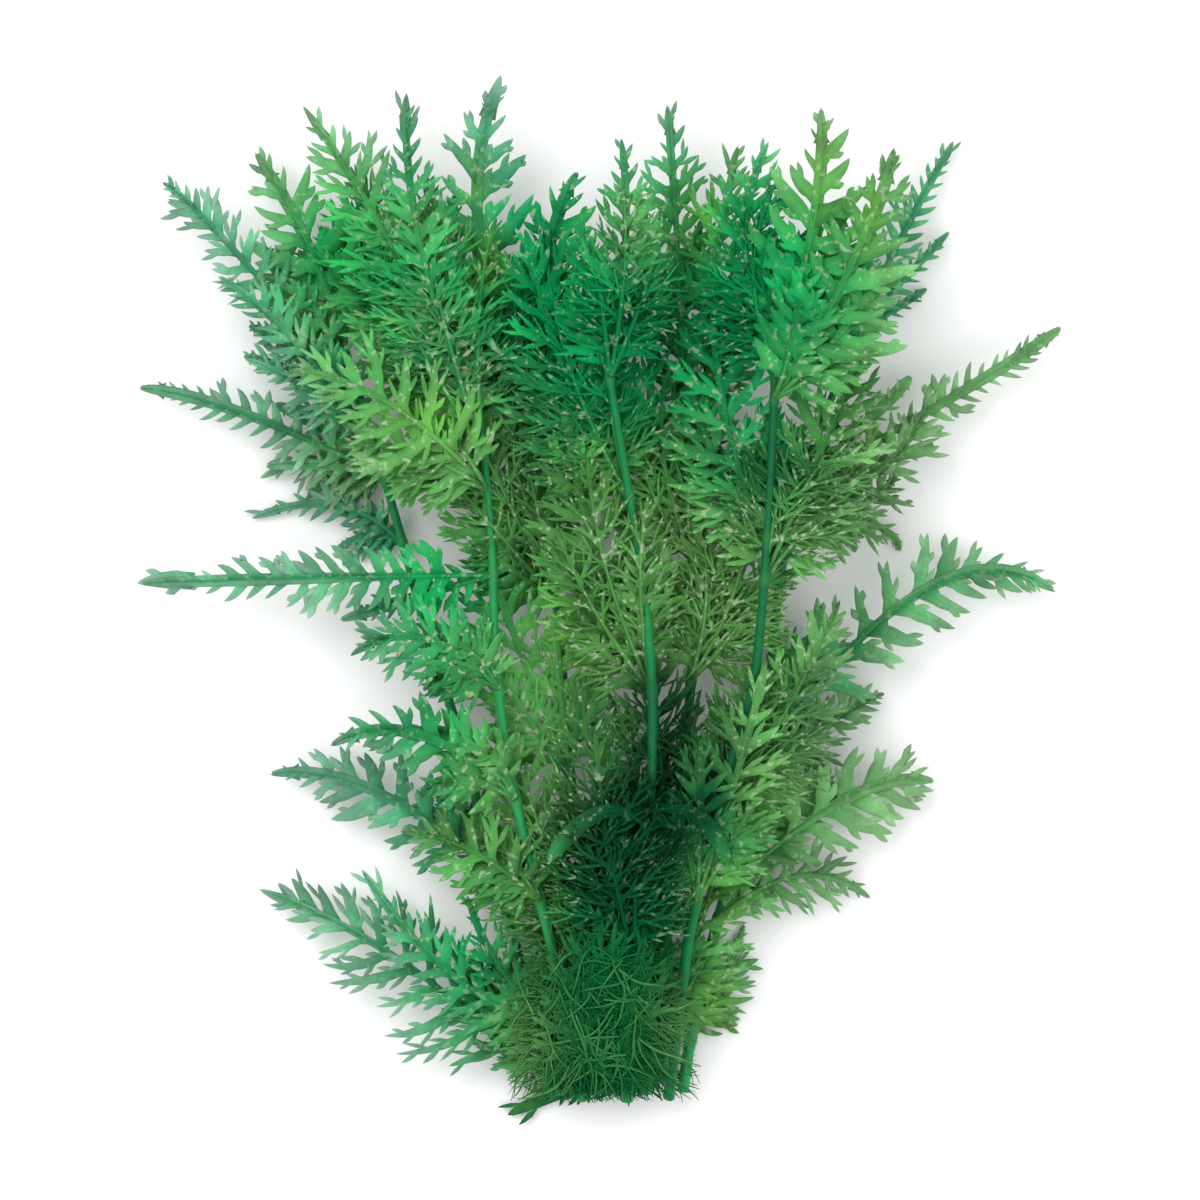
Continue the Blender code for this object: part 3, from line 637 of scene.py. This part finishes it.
class Lobe:
    """One lobe of a leaf in plan, on a sloping plane, with pointed segments along both edges."""

    def __init__(self, mesh, cut, low, high, tip, read, rng, sign=0, entire=False):
        self.mesh, self.cut, self.read, self.rng = mesh, cut, read, rng
        self.low, self.high, self.entire = low, high, entire
        self.base = (low + high) / 2
        self.reach = tip - self.base
        self.length = np.linalg.norm(self.reach[:2])
        sides = np.array([self.reach, high - low])
        self.slope = np.linalg.solve(sides[:, :2], sides[:, 2])
        curve = sign * rng.uniform(*SPREAD["curve"]) if sign else rng.uniform(*SPREAD["end curve"])
        self.bend = turned(unit(self.reach[:2]), math.pi / 2) * self.length * curve
        self.wide = min(cut.strip, SLENDER * self.length) * rng.uniform(*SPREAD["width"])
        self.twist = rng.uniform(*SPREAD["twist"])
        self.droop = rng.uniform(*SPREAD["droop"]) * self.length

    def axis(self, s):
        return self.base[:2] + self.reach[:2] * s + self.bend * 4 * s * (1 - s)

    def way(self, s):
        return unit(self.reach[:2] + self.bend * 4 * (1 - 2 * s))

    def corner(self, place, s, aside, outward, vein):
        """A corner of the lobe's surface at a place in plan, aside metres from its vein."""
        level = self.base[2] + self.slope @ (place - self.base[:2])
        height = level + GUTTER * abs(aside) + self.twist * aside * s + self.droop * s * s
        along, lot = self.read
        return self.mesh.corner((*place, height), along, outward, vein, lot)

    def row(self, middle, half, s, aside, outward, vein):
        """Three corners across the blade. aside is how far its sides and its middle are from the vein."""
        return [
            self.corner(middle + half, s, aside[0], outward, 0.0),
            self.corner(middle, s, aside[1], outward, vein),
            self.corner(middle - half, s, aside[0], outward, 0.0),
        ]

    def segment(self, row, start, way, length, width, s, side):
        """A pointed segment that grows out of three corners of the lobe's edge."""
        across = turned(way, math.pi / 2)
        forward = self.way(s) * SEGMENT_LEAN * length
        for share, wide in SEGMENT_ROWS:
            middle = start + way * length * share + forward * share**2
            out = 0.45 + 0.5 * share
            aside = side * length * share
            above = self.row(middle, across * width / 2 * wide, s, (aside, aside * 0.9), out, 0.7)
            self.mesh.strip(row, above)
            row = above
        tip = self.corner(start + way * length + forward, s, side * length, 1.0, 0.3)
        self.mesh.point_off(row, tip)

    def grow(self):
        """Lays out the lobe: rows of corners along its vein, and a segment at every place along its edges."""
        cut, rng = self.cut, self.rng
        count = max(0, min(MOST_SEGMENT_PAIRS, round((self.length - PLAIN_LOBE) / cut.apart)))
        spacing = 1 / (count + 0.4)
        root = min(0.45 * cut.segment / self.length, 0.21 * spacing)
        places = self.segment_places(min(count, 1) if self.entire else count, spacing, root)
        row = self.root_row()
        for s, side in places:
            near = []
            for at in (s - root, s, s + root):
                row = self.next_row(row, at)
                near.append(row)
            if rng.random() < SKIPPED_SEGMENTS and s < NONE_SKIPPED_FROM:
                continue
            foot = [corners[0 if side == 1 else 2] for corners in near][::side]
            angle = side * cut.angle * rng.uniform(*SPREAD["segment angle"]) * (1 - 0.25 * s)
            start = self.axis(s) + turned(self.way(s), side * math.pi / 2) * self.half_width(s)
            width = cut.segment * rng.uniform(*SPREAD["segment width"]) * (1 - 0.3 * s)
            self.segment(foot, start, turned(self.way(s), angle), self.segment_length(s), width, s, side)
        last = places[-1][0] + root if places else 0.1
        for share in PLAIN_END if self.entire or not places else CUT_END:
            row = self.next_row(row, last + share * (1 - last))
        self.mesh.point_off(row, self.corner(self.axis(1), 1, 0, 1.0, 0.4))

    def next_row(self, before, s):
        """The row of corners across the vein at s, joined to the one before it."""
        half = self.half_width(s)
        across = turned(self.way(s), math.pi / 2) * half
        row = self.row(self.axis(s), across, s, (half, 0), 0.15 + 0.6 * s, 1.0)
        self.mesh.strip(before, row)
        return row

    def segment_places(self, count, spacing, root):
        """Where segments leave the vein, and to which side, 1 for left: by turns, in count pairs."""
        first = self.rng.random() < 0.5
        places = []
        for j in range(count):
            for late in (False, True):
                s = spacing * (j + (0.95 if late else 0.45)) + self.rng.uniform(*SPREAD["place"]) * spacing
                if s + root < LAST_SEGMENT:
                    places.append((s, 1 if late == first else -1))
        return places

    def half_width(self, s):
        """A waist near the root, a swell halfway and a long taper."""
        waist = 1 - WAIST * math.exp(-(((s - WAIST_AT) / WAIST_SPAN) ** 2))
        return self.wide / 2 * waist * max(0.05, 1 - s**1.9) ** 0.7

    def segment_length(self, s):
        swell = 0.62 + 0.55 * math.sin(math.pi * min(1, 0.15 + 0.85 * s)) - 0.35 * s
        return min(self.cut.reach, 0.5 * self.length) * swell * self.rng.uniform(*SPREAD["segment length"])

    def root_row(self):
        """The lobe's root, as wide as its share of the midrib."""
        off = self.low - self.base
        low_is_left = self.reach[0] * off[1] - self.reach[1] * off[0] > 0
        left, right = (self.low, self.high) if low_is_left else (self.high, self.low)
        along, lot = self.read
        return [
            self.mesh.corner(left, along, 0.0, 0.5, lot),
            self.mesh.corner(self.base, along, 0.0, 1.0, lot),
            self.mesh.corner(right, along, 0.0, 0.5, lot),
        ]


def cut_of(label):
    """How a leaf is cut: finely, unless it is listed with another cut."""
    for cut, labels in CUT_OTHERWISE.items():
        if label in labels:
            return CUTS[cut]
    return CUTS["fine"]


def grow_blade(mesh, cut, rib, turn, rng):
    """The lobes along a midrib, as long as the solid's but closer together, and the one at its end."""
    leaf = rib.leaf
    lots = SPREAD["needle lot"] if cut is CUTS["needle"] else SPREAD["lot"]
    apart = min(max(LOBES_APART_SHARE * leaf.reach * GRID_STEP, LEAST_LOBES_APART), cut.lobes_apart)
    count = max(leaf.pairs, round(rib.length * (TOP_SHARE - STALK_SHARE) / apart))
    shares = np.linspace(STALK_SHARE, TOP_SHARE, count + 1)
    for i, (low_share, high_share) in enumerate(zip(shares, shares[1:])):
        t = i / (count - 1)
        k = t * (leaf.pairs - 1)
        low, high = rib.point(low_share), rib.point(high_share)
        for side, sign in enumerate((1, -1)):
            shift = -sign * ALTERNATE / 2 * (high - low)
            angle = sign * (FIRST_LOBE_ANGLE + t * (LAST_LOBE_ANGLE - FIRST_LOBE_ANGLE))
            out = turned(rib.way((low_share + high_share) / 2), angle * rng.uniform(*SPREAD["lobe angle"]))
            uneven = 1 + UNEVEN * math.sin(UNEVEN_STEP * k + UNEVEN_SIDE * side + turn)
            length = leaf.reach * GRID_STEP * outline_share(t) * uneven * rib.scale
            length *= rng.uniform(*SPREAD["lobe length"])
            tip = (low + shift)[:2] + TIP_FORWARD * (high - low)[:2] + out * length
            tilt = sign * leaf.roll + CUP * math.sin(turn + k)
            tip = np.array([*tip, (low[2] + high[2]) / 2 + length * tilt])
            margin = LOBE_MARGIN * (high - low)
            read = ((low_share + high_share) / 2, rng.uniform(*lots))
            Lobe(mesh, cut, low + margin + shift, high - margin + shift, tip, read, rng, sign).grow()
    back = rib.point(END_LOBE_FROM)
    way = rib.way(TOP_SHARE)
    tip_cut = cut._replace(strip=cut.strip * TIP_BLADE_WIDER)
    aside = np.array([-way[1], way[0], 0]) * cut.strip / 2
    read = (0.95, rng.uniform(*lots))
    Lobe(mesh, tip_cut, back + aside, back - aside, rib.point(1), read, rng, entire=True).grow()


def grow_web(mesh, cut, rib):
    """The strip of blade along the midrib, widest near the tip, that joins the feet of the lobes."""
    rows = []
    for share in np.linspace(STALK_SHARE, WEB_END, WEB_ROWS):
        t = (share - STALK_SHARE) / (1 - STALK_SHARE)
        half = WEB_HALF * cut.strip / CUTS["fine"].strip * (0.35 + WEB_WIDENS * t) * math.sqrt(1 - t**3)
        across = np.array([*turned(rib.way(share), math.pi / 2), 0]) * half
        lift = np.array([0, 0, GUTTER * half])
        middle = rib.point(share)
        rows.append([
            mesh.corner(middle + across + lift, share, 0.1 + 0.5 * t, 0.0, 0.5),
            mesh.corner(middle, share, 0.1 + 0.4 * t, 1.0, 0.5),
            mesh.corner(middle - across + lift, share, 0.1 + 0.5 * t, 0.0, 0.5),
        ])
    for pair in zip(rows, rows[1:]):
        mesh.strip(*pair)


def grow_midrib(mesh, rib):
    """The midrib and its stalk, which starts inside the stem."""
    shares = np.linspace(MIDRIB_FROM, MIDRIB_END, MIDRIB_POINTS)
    points = [rib.root, *(rib.point(share) + (0, 0, MIDRIB_STANDS_OUT) for share in shares)]
    radii = MIDRIB_RADIUS * np.linspace(1, MIDRIB_TIP_SHARE, len(points))
    mesh.tube(points, radii, MIDRIB_SIDES, lambda share: (share, 0.0, 1.0, 0.5), flat=0.8)


def fellows_of(leaf):
    """The fellows that have room, one for each swing: their tips stay within the dense core of the bunch.
    A swing counts towards the side that brings the first one's tip nearer to the middle of the bunch.
    """
    start = on_plan(STEMS[leaf.stem][0][0], leaf.row)
    reach = on_plan(*leaf.tip) - start
    inward = min((-1, 1), key=lambda side: np.linalg.norm(start + turned(reach, side * FELLOW_SWING)))
    found = []
    for swing, scale, rise, most_open in FELLOWS:
        tip = start + turned(reach, inward * swing) * scale
        taken = [inward * other for other, *_ in found]
        if openness(*off_plan(tip[None]))[0] <= most_open and swing not in taken:
            found.append((inward * swing, scale, rise))
    return found


def thicken(piece):
    """A blade's thickness, half of it to each side."""
    shell = piece.modifiers.new("thickness", "SOLIDIFY")
    shell.thickness = BLADE_THICKNESS
    shell.offset = 0


def dress_leaf(label, leaf, stem, turn):
    """A leaf and its smaller fellows from the same joint, cut twice, in place of their solid."""
    rng = np.random.default_rng([SEED, turn])
    blade, midribs = Mesh(), Mesh()
    own = cut_of(label)
    grown = [(0.0, 1.0, 0.0, own)]
    if own is not CUTS["band"]:
        grown += [(*fellow, own) for fellow in fellows_of(leaf)]
    if label in FANNED_LEAVES:
        grown += [(*young, CUTS["needle"]) for young in FAN]
    for swing, scale, rise, cut in grown:
        rib = Rib("leaf_" + label, leaf, stem, swing, scale, rise)
        grow_blade(blade, cut, rib, turn, rng)
        grow_web(blade, cut, rib)
        grow_midrib(midribs, rib)
    blade = blade.finish("blade_" + label)
    thicken(blade)
    return blade, midribs.finish("midrib_" + label)


def dress_stem(name, stem, rows):
    """A stem with a swollen joint wherever a leaf grows."""
    line = smooth_route(stem.line, SHOOT_POINTS)
    steps = np.linalg.norm(np.diff(line, axis=0), axis=1)
    travelled = np.concatenate([[0], np.cumsum(steps)])
    joints = [np.interp(on_plan(0, row)[1], line[:, 1], travelled) for row in rows]
    near = sum(np.exp(-(((travelled - joint) / JOINT_LENGTH) ** 2)) for joint in joints)
    near = np.clip(near, 0, 1)
    radii = STEM_RADIUS * np.linspace(1, STEM_TIP_SHARE, len(line)) * (BETWEEN_JOINTS + JOINT_SWELL * near)
    mesh = Mesh()

    def read(share):
        swollen = float(np.interp(share, np.linspace(0, 1, len(near)), near))
        return share, 0.0, swollen, min(1, STEM_SHADES[name] + FOOT_LIGHTER * (1 - share) ** FOOT_FADES)

    mesh.tube(line, radii, STEM_SIDES, read, ridged=STEM_RIDGED)
    return mesh.finish("shoot_" + name)


def within_roots(place):
    """Whether threads may reach a place: between the sides of the roots and above their end."""
    column, row = (values[0] for values in off_plan(place[None]))
    left, right = sides_at(row, ROOT_SIDES)
    return left < column < right and row < LAST_THREAD_ROW


class Cloud:
    """Curly threads that start around a place on a root tuft, in one mesh."""

    NEAR_TOP = 0.02

    def __init__(self, tuft, matter, middle, half, seed):
        self.tuft = Solid(tuft)
        self.matter = BVHTree.FromPolygons([Vector(place) for place in matter.corners], matter.faces)
        self.middle, self.half = middle, half
        self.rng = np.random.default_rng([SEED, seed])
        self.mesh = Mesh()

    def level(self, place):
        """The height of the leaf matter at a place, or of the nearest part of the tuft."""
        top = self.matter.ray_cast(Vector((*place, Solid.FAR)), Vector((0, 0, -1)))[0]
        if top is None:
            top = self.tuft.tree.find_nearest(Vector((*place, self.NEAR_TOP)))[0]
        return top.z

    def thread(self, start, heading, length, radius, lift, lot):
        """One thread that curls and waves, unless it would leave the roots too soon."""
        curl = self.rng.uniform(*SPREAD["thread curl"]) / THREAD_STEPS
        wave = self.rng.uniform(*SPREAD["thread wave"])
        phase = self.rng.uniform(0, 2 * math.pi)
        places = [np.array(start, float)]
        for i in range(THREAD_STEPS):
            heading += curl + wave * math.sin(phase + WAVE_STEP * i)
            place = places[-1] + np.array([math.cos(heading), math.sin(heading)]) * length / THREAD_STEPS
            if not within_roots(place):
                break
            places.append(place)
        if len(places) < SHORTEST_THREAD:
            return
        heights = np.array([self.level(place) for place in places])
        for _ in range(THREAD_SMOOTHED):
            heights = smoothed(heights)
        line = smooth_route(np.column_stack([places, heights + lift + radius]), 2 * len(places) - 1)
        radii = radius * np.interp(np.linspace(0, 1, len(line)), *THREAD_TAPER)
        self.mesh.tube(line, radii, THREAD_SIDES, lambda share: (share, 0.0, 0.0, lot))

    def grow(self, count, pile):
        """Threads that run down and outwards, thinning out towards the rim of the cloud."""
        rng = self.rng
        for _ in range(count):
            turn, far = rng.uniform(0, 2 * math.pi), rng.random() ** 0.6
            offset = np.array([math.cos(turn), math.sin(turn)]) * far * self.half
            pale = rng.random() < PALE_THREADS and far < 0.8
            heading = -math.pi / 2 + rng.normal(0, 1.1) + 0.5 * offset[0] / self.half[0]
            self.thread(
                on_plan(*(self.middle + offset)),
                heading,
                rng.uniform(*SPREAD["thread length"]) * (1.1 - 0.5 * far) * GRID_STEP,
                rng.uniform(*SPREAD["pale thread radius" if pale else "dark thread radius"]),
                pile * (1.0 if pale else rng.random() * (1.2 - far)),
                rng.uniform(*SPREAD["pale thread lot" if pale else "dark thread lot"]),
            )


def dress_tuft(name, node, middle, half, count, pile, turn):
    """Old dark leaf matter in the form of a tuft's solid, its darkness partly painted shade at the foot of
    the bunch, and the threads over it.
    """
    leaf = ROOT_TUFTS[node]
    stem = Stem(leaf.stem)
    # Low lots darken the matter: partly painted shade at the foot of the bunch
    matter = Mesh(lot_share=0.45)
    rng = np.random.default_rng([SEED, turn])
    for swing in MATTER_SWINGS[node]:
        rib = Rib(node, leaf, stem, swing, 1 - 0.6 * abs(swing), -0.0012 * abs(swing))
        grow_blade(matter, CUTS["fine"], rib, turn, rng)
        grow_web(matter, CUTS["broad"], rib)
    cloud = Cloud(node, matter, np.array(middle), np.array(half), turn)
    cloud.grow(count, pile)
    matter = matter.finish(name.replace("roots", "matter"))
    thicken(matter)
    return matter, cloud.mesh.finish(name)


class Nodes:
    """A material's node tree, built with short calls."""

    def __init__(self, name):
        self.material = bpy.data.materials.new(name)
        self.material.use_nodes = True
        self.tree = self.material.node_tree
        self.shader = self.tree.nodes["Principled BSDF"]

    def node(self, kind, **inputs):
        """A new node with a value, a colour or another node's output in each named input."""
        node = self.tree.nodes.new(kind)
        for socket, value in inputs.items():
            self.put(node.inputs[socket], value)
        return node

    def put(self, socket, value):
        if isinstance(value, bpy.types.NodeSocket):
            self.tree.links.new(value, socket)
        else:
            socket.default_value = (*value, 1) if isinstance(value, tuple) else value

    def surface(self, socket, value):
        self.put(self.shader.inputs[socket], value)

    def read(self, kind):
        node = self.node("ShaderNodeAttribute")
        node.attribute_name = kind
        return node.outputs["Fac"]

    def math(self, operation, a, b, clamp=False):
        node = self.node("ShaderNodeMath")
        node.operation = operation
        node.use_clamp = clamp
        self.put(node.inputs[0], a)
        self.put(node.inputs[1], b)
        return node.outputs[0]

    def plus(self, a, b, clamp=False):
        return self.math("ADD", a, b, clamp)

    def times(self, a, b, clamp=False):
        return self.math("MULTIPLY", a, b, clamp)

    def grey(self, value):
        node = self.node("ShaderNodeCombineColor")
        for socket in node.inputs[:3]:
            self.put(socket, value)
        return node.outputs[0]

    def noise(self, pattern, detail=3.0, roughness=0.6):
        where = self.node("ShaderNodeTexCoord").outputs["Object"]
        scale = PATTERNS[pattern]
        noise = self.node("ShaderNodeTexNoise", Vector=where, Scale=scale, Detail=detail, Roughness=roughness)
        return noise.outputs["Fac"]

    def ramp(self, value, stops):
        node = self.node("ShaderNodeValToRGB", Fac=value)
        elements = node.color_ramp.elements
        while len(elements) < len(stops):
            elements.new(0.5)
        for element, (place, colour) in zip(elements, stops):
            element.position = place
            element.color = (*colour, 1)
        return node.outputs["Color"]

    def mix(self, share, a, b, blend="MIX"):
        node = self.node("ShaderNodeMix")
        node.data_type = "RGBA"
        node.blend_type = blend
        for i, value in ((0, share), (6, a), (7, b)):
            self.put(node.inputs[i], value)
        return node.outputs[2]

    def bump(self, height, distance, strength=1.0):
        bump = self.node("ShaderNodeBump", Distance=distance, Strength=strength, Height=height)
        self.surface("Normal", bump.outputs["Normal"])


def tinted(made, deep, body, pale):
    """Deep at the midrib and paler outwards, mottled, with soft patches by place, painted shade in the deep
    ones, and a grey-green rim.
    """
    mottle = made.noise("mottle")
    reach = made.plus(made.times(made.read("outward"), 0.6), made.times(made.read("along"), 0.3))
    reach = made.plus(reach, made.times(made.plus(mottle, -0.5), 0.7), clamp=True)
    colour = made.ramp(reach, [(0.05, deep), (0.4, body), (0.72, body), (1.0, pale)])
    blotches = made.plus(made.times(mottle, 1.2), 0.4)
    fresh = made.times(made.plus(made.noise("fresh"), -0.56), 5.0, clamp=True)
    # Among these patches, the deep ones are painted shade
    for kind, (tint, share) in PATCH_TINTS.items():
        weight = made.times(made.read(kind), blotches, clamp=True)
        colour = made.mix(made.times(weight, share), colour, tint)
        if kind == "aged":
            colour = made.mix(made.times(made.times(fresh, weight), 0.8), colour, YOUNG_COLOUR)
    outer = made.plus(made.times(made.read("outward"), 0.8), 0.15)
    rim = made.mix(made.read("rightward"), OPEN_COLOUR, OPEN_COLOUR_RIGHT)
    return made.mix(made.times(made.read("open"), outer, clamp=True), colour, rim)


def shaded(made, colour):
    """Each lobe a little lighter or darker than the next, with soft clouds and a fine grain."""
    own = made.plus(made.times(made.read("lot"), 0.65), 0.6)
    cloudy = made.plus(made.times(made.noise("clouds", 2.0), 1.6), 0.26)
    grain = made.plus(made.times(made.noise("grain", 2.0), 0.35), 0.83)
    return made.mix(1.0, colour, made.grey(made.times(made.times(own, cloudy), grain)), "MULTIPLY")


def lined(made, colour, vein):
    """Paler veins and small pale specks of painted light, where light shows through gaps between the leaves,
    both fainter in the deep patches of painted shade and in lush ones.
    """
    plain = made.math("MAXIMUM", made.read("deep"), made.times(made.read("lush"), 0.7))
    shown = made.plus(1.0, made.times(plain, -1.0), clamp=True)
    lines = made.times(made.times(made.math("POWER", made.read("vein"), 4.0), 0.4), shown)
    colour = made.mix(lines, colour, vein)
    # Painted light: pale specks where light shows through small gaps between the leaves
    specks_of_light = made.plus(made.noise("specks_of_light", 1.0), made.times(made.read("pale"), SPECKS_OF_LIGHT_WHERE_PALE))
    specks_of_light = made.times(made.plus(specks_of_light, -SPECKS_OF_LIGHT_FROM), SPECK_OF_LIGHT_SHARPNESS, clamp=True)
    speck_strength = made.times(made.plus(shown, 0.15), made.plus(1.0, made.times(made.read("open"), -0.8)))
    return made.mix(made.times(made.times(specks_of_light, speck_strength), 0.75, clamp=True), colour, SPECK_OF_LIGHT_COLOUR)


def leaf_material(name, deep, body, pale, vein):
    """Leaf tissue that lets light through: coloured by place, with a soft gloss and a fine relief."""
    made = Nodes("wisteria_leaf_" + name)
    colour = lined(made, shaded(made, tinted(made, deep, body, pale)), vein)
    made.surface("Base Color", colour)
    made.surface("Roughness", made.plus(made.times(made.noise("gloss"), 0.25), 0.45))
    made.surface("Specular IOR Level", 0.06)
    made.bump(made.noise("relief", 2.0), 0.00008, 0.5)
    through = made.node("ShaderNodeBsdfTranslucent", Color=colour)
    both = made.node("ShaderNodeMixShader")
    for i, value in enumerate((LEAF_LETS_THROUGH, made.shader.outputs[0], through.outputs[0])):
        made.put(both.inputs[i], value)
    made.put(made.tree.nodes["Material Output"].inputs["Surface"], both.outputs[0])
    return made.material


def stem_material():
    """Stem tissue: streaked along its length, lighter at the foot, paler and yellower at the joints, and
    darkened with painted shade in the deep patches.
    """
    made = Nodes("wisteria_stem")
    streaks = made.times(made.plus(made.noise("streaks", 4.0), -0.5), 0.5)
    colour = made.ramp(made.plus(made.read("lot"), streaks, clamp=True), STEM_COLOURS)
    colour = made.mix(made.times(made.read("vein"), 0.4), colour, STEM_JOINT_COLOUR)
    # Painted shade: the deep patches darken the stems where the leaves shade them
    colour = made.mix(made.times(made.read("deep"), 0.8), colour, PATCH_TINTS["deep"][0])
    made.surface("Base Color", colour)
    made.surface("Roughness", 0.45)
    made.surface("Specular IOR Level", 0.15)
    made.bump(made.noise("grain"), 0.0001, 0.6)
    return made.material


def root_material():
    """Roots and old threads: most nearly black-green, partly painted shade at the foot of the bunch, some mid
    green.
    """
    made = Nodes("wisteria_root")
    colour = made.ramp(made.read("lot"), ROOT_COLOURS)
    colour = made.mix(made.times(made.read("pale"), PALE_ROOTS), colour, PATCH_TINTS["pale"][0])
    grain = made.ramp(made.noise("root grain"), [(0.3, (0.7, 0.7, 0.7)), (0.7, (1.0, 1.0, 1.0))])
    made.surface("Base Color", made.mix(1.0, colour, grain, "MULTIPLY"))
    made.surface("Roughness", 0.6)
    made.surface("Specular IOR Level", 0.05)
    made.bump(made.noise("root relief"), 0.0001, 0.6)
    return made.material


def stage():
    """A pale floor, soft light from above, and a camera that looks straight down."""
    bpy.ops.mesh.primitive_plane_add(size=FLOOR_SIZE, location=(0, 0, FLOOR_LEVEL))
    floor = bpy.context.object
    floor.name = "floor"
    pale = Nodes("floor_pale")
    pale.surface("Base Color", (FLOOR_GREY, FLOOR_GREY, FLOOR_GREY))
    pale.surface("Roughness", 0.9)
    floor.data.materials.append(pale.material)
    scene = bpy.context.scene
    scene.world = bpy.data.worlds.new("studio")
    scene.world.use_nodes = True
    sky = scene.world.node_tree.nodes["Background"]
    sky.inputs["Color"].default_value = (1, 1, 1, 1)
    sky.inputs["Strength"].default_value = WORLD_LIGHT
    for name, place, size, watts in SOFT_LIGHTS:
        data = bpy.data.lights.new(name, "AREA")
        data.shape = "DISK"
        data.size = size
        data.energy = watts
        lamp = bpy.data.objects.new(name, data)
        lamp.location = place
        lamp.rotation_euler = (-Vector(place)).to_track_quat("-Z", "Y").to_euler()
        scene.collection.objects.link(lamp)
    eye = bpy.data.cameras.new("camera")
    eye.lens = LENS
    camera = bpy.data.objects.new("camera", eye)
    distance = FRAME_PIXELS * GRID_STEP * eye.lens / eye.sensor_width
    camera.location = (*on_plan(FRAME_PIXELS / 2, FRAME_PIXELS / 2), distance + FOCUS_HEIGHT)
    scene.view_settings.view_transform = "Standard"
    scene.collection.objects.link(camera)
    bpy.context.scene.camera = camera


def main():
    stems = {name: Stem(name) for name in STEMS}
    tissues = {colour: leaf_material(colour, *shades) for colour, shades in LEAF_COLOURS.items()}
    leaves = [(turn, entry) for turn, entry in enumerate(PILE_ORDER) if isinstance(entry, Leaf)]
    numbers = dict.fromkeys(STEMS, 0)
    for turn, leaf in leaves:
        numbers[leaf.stem] += 1
        label = f"{leaf.stem}_{numbers[leaf.stem]:02d}"
        for piece in dress_leaf(label, leaf, stems[leaf.stem], turn):
            piece.data.materials.append(tissues[leaf.colour])
            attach(piece, "root")
            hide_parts("leaf_" + label)
    wood = stem_material()
    for name, stem in stems.items():
        piece = dress_stem(name, stem, [leaf.row for _, leaf in leaves if leaf.stem == name])
        piece.data.materials.append(wood)
        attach(piece, "root")
        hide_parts(stem.name)
    threads = root_material()
    for turn, (name, node, middle, half, count, pile) in enumerate(THREAD_CLOUDS, len(PILE_ORDER)):
        for piece in dress_tuft(name, node, middle, half, count, pile, turn):
            piece.data.materials.append(threads)
            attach(piece, "root")
            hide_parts(node)
    stage()


main()
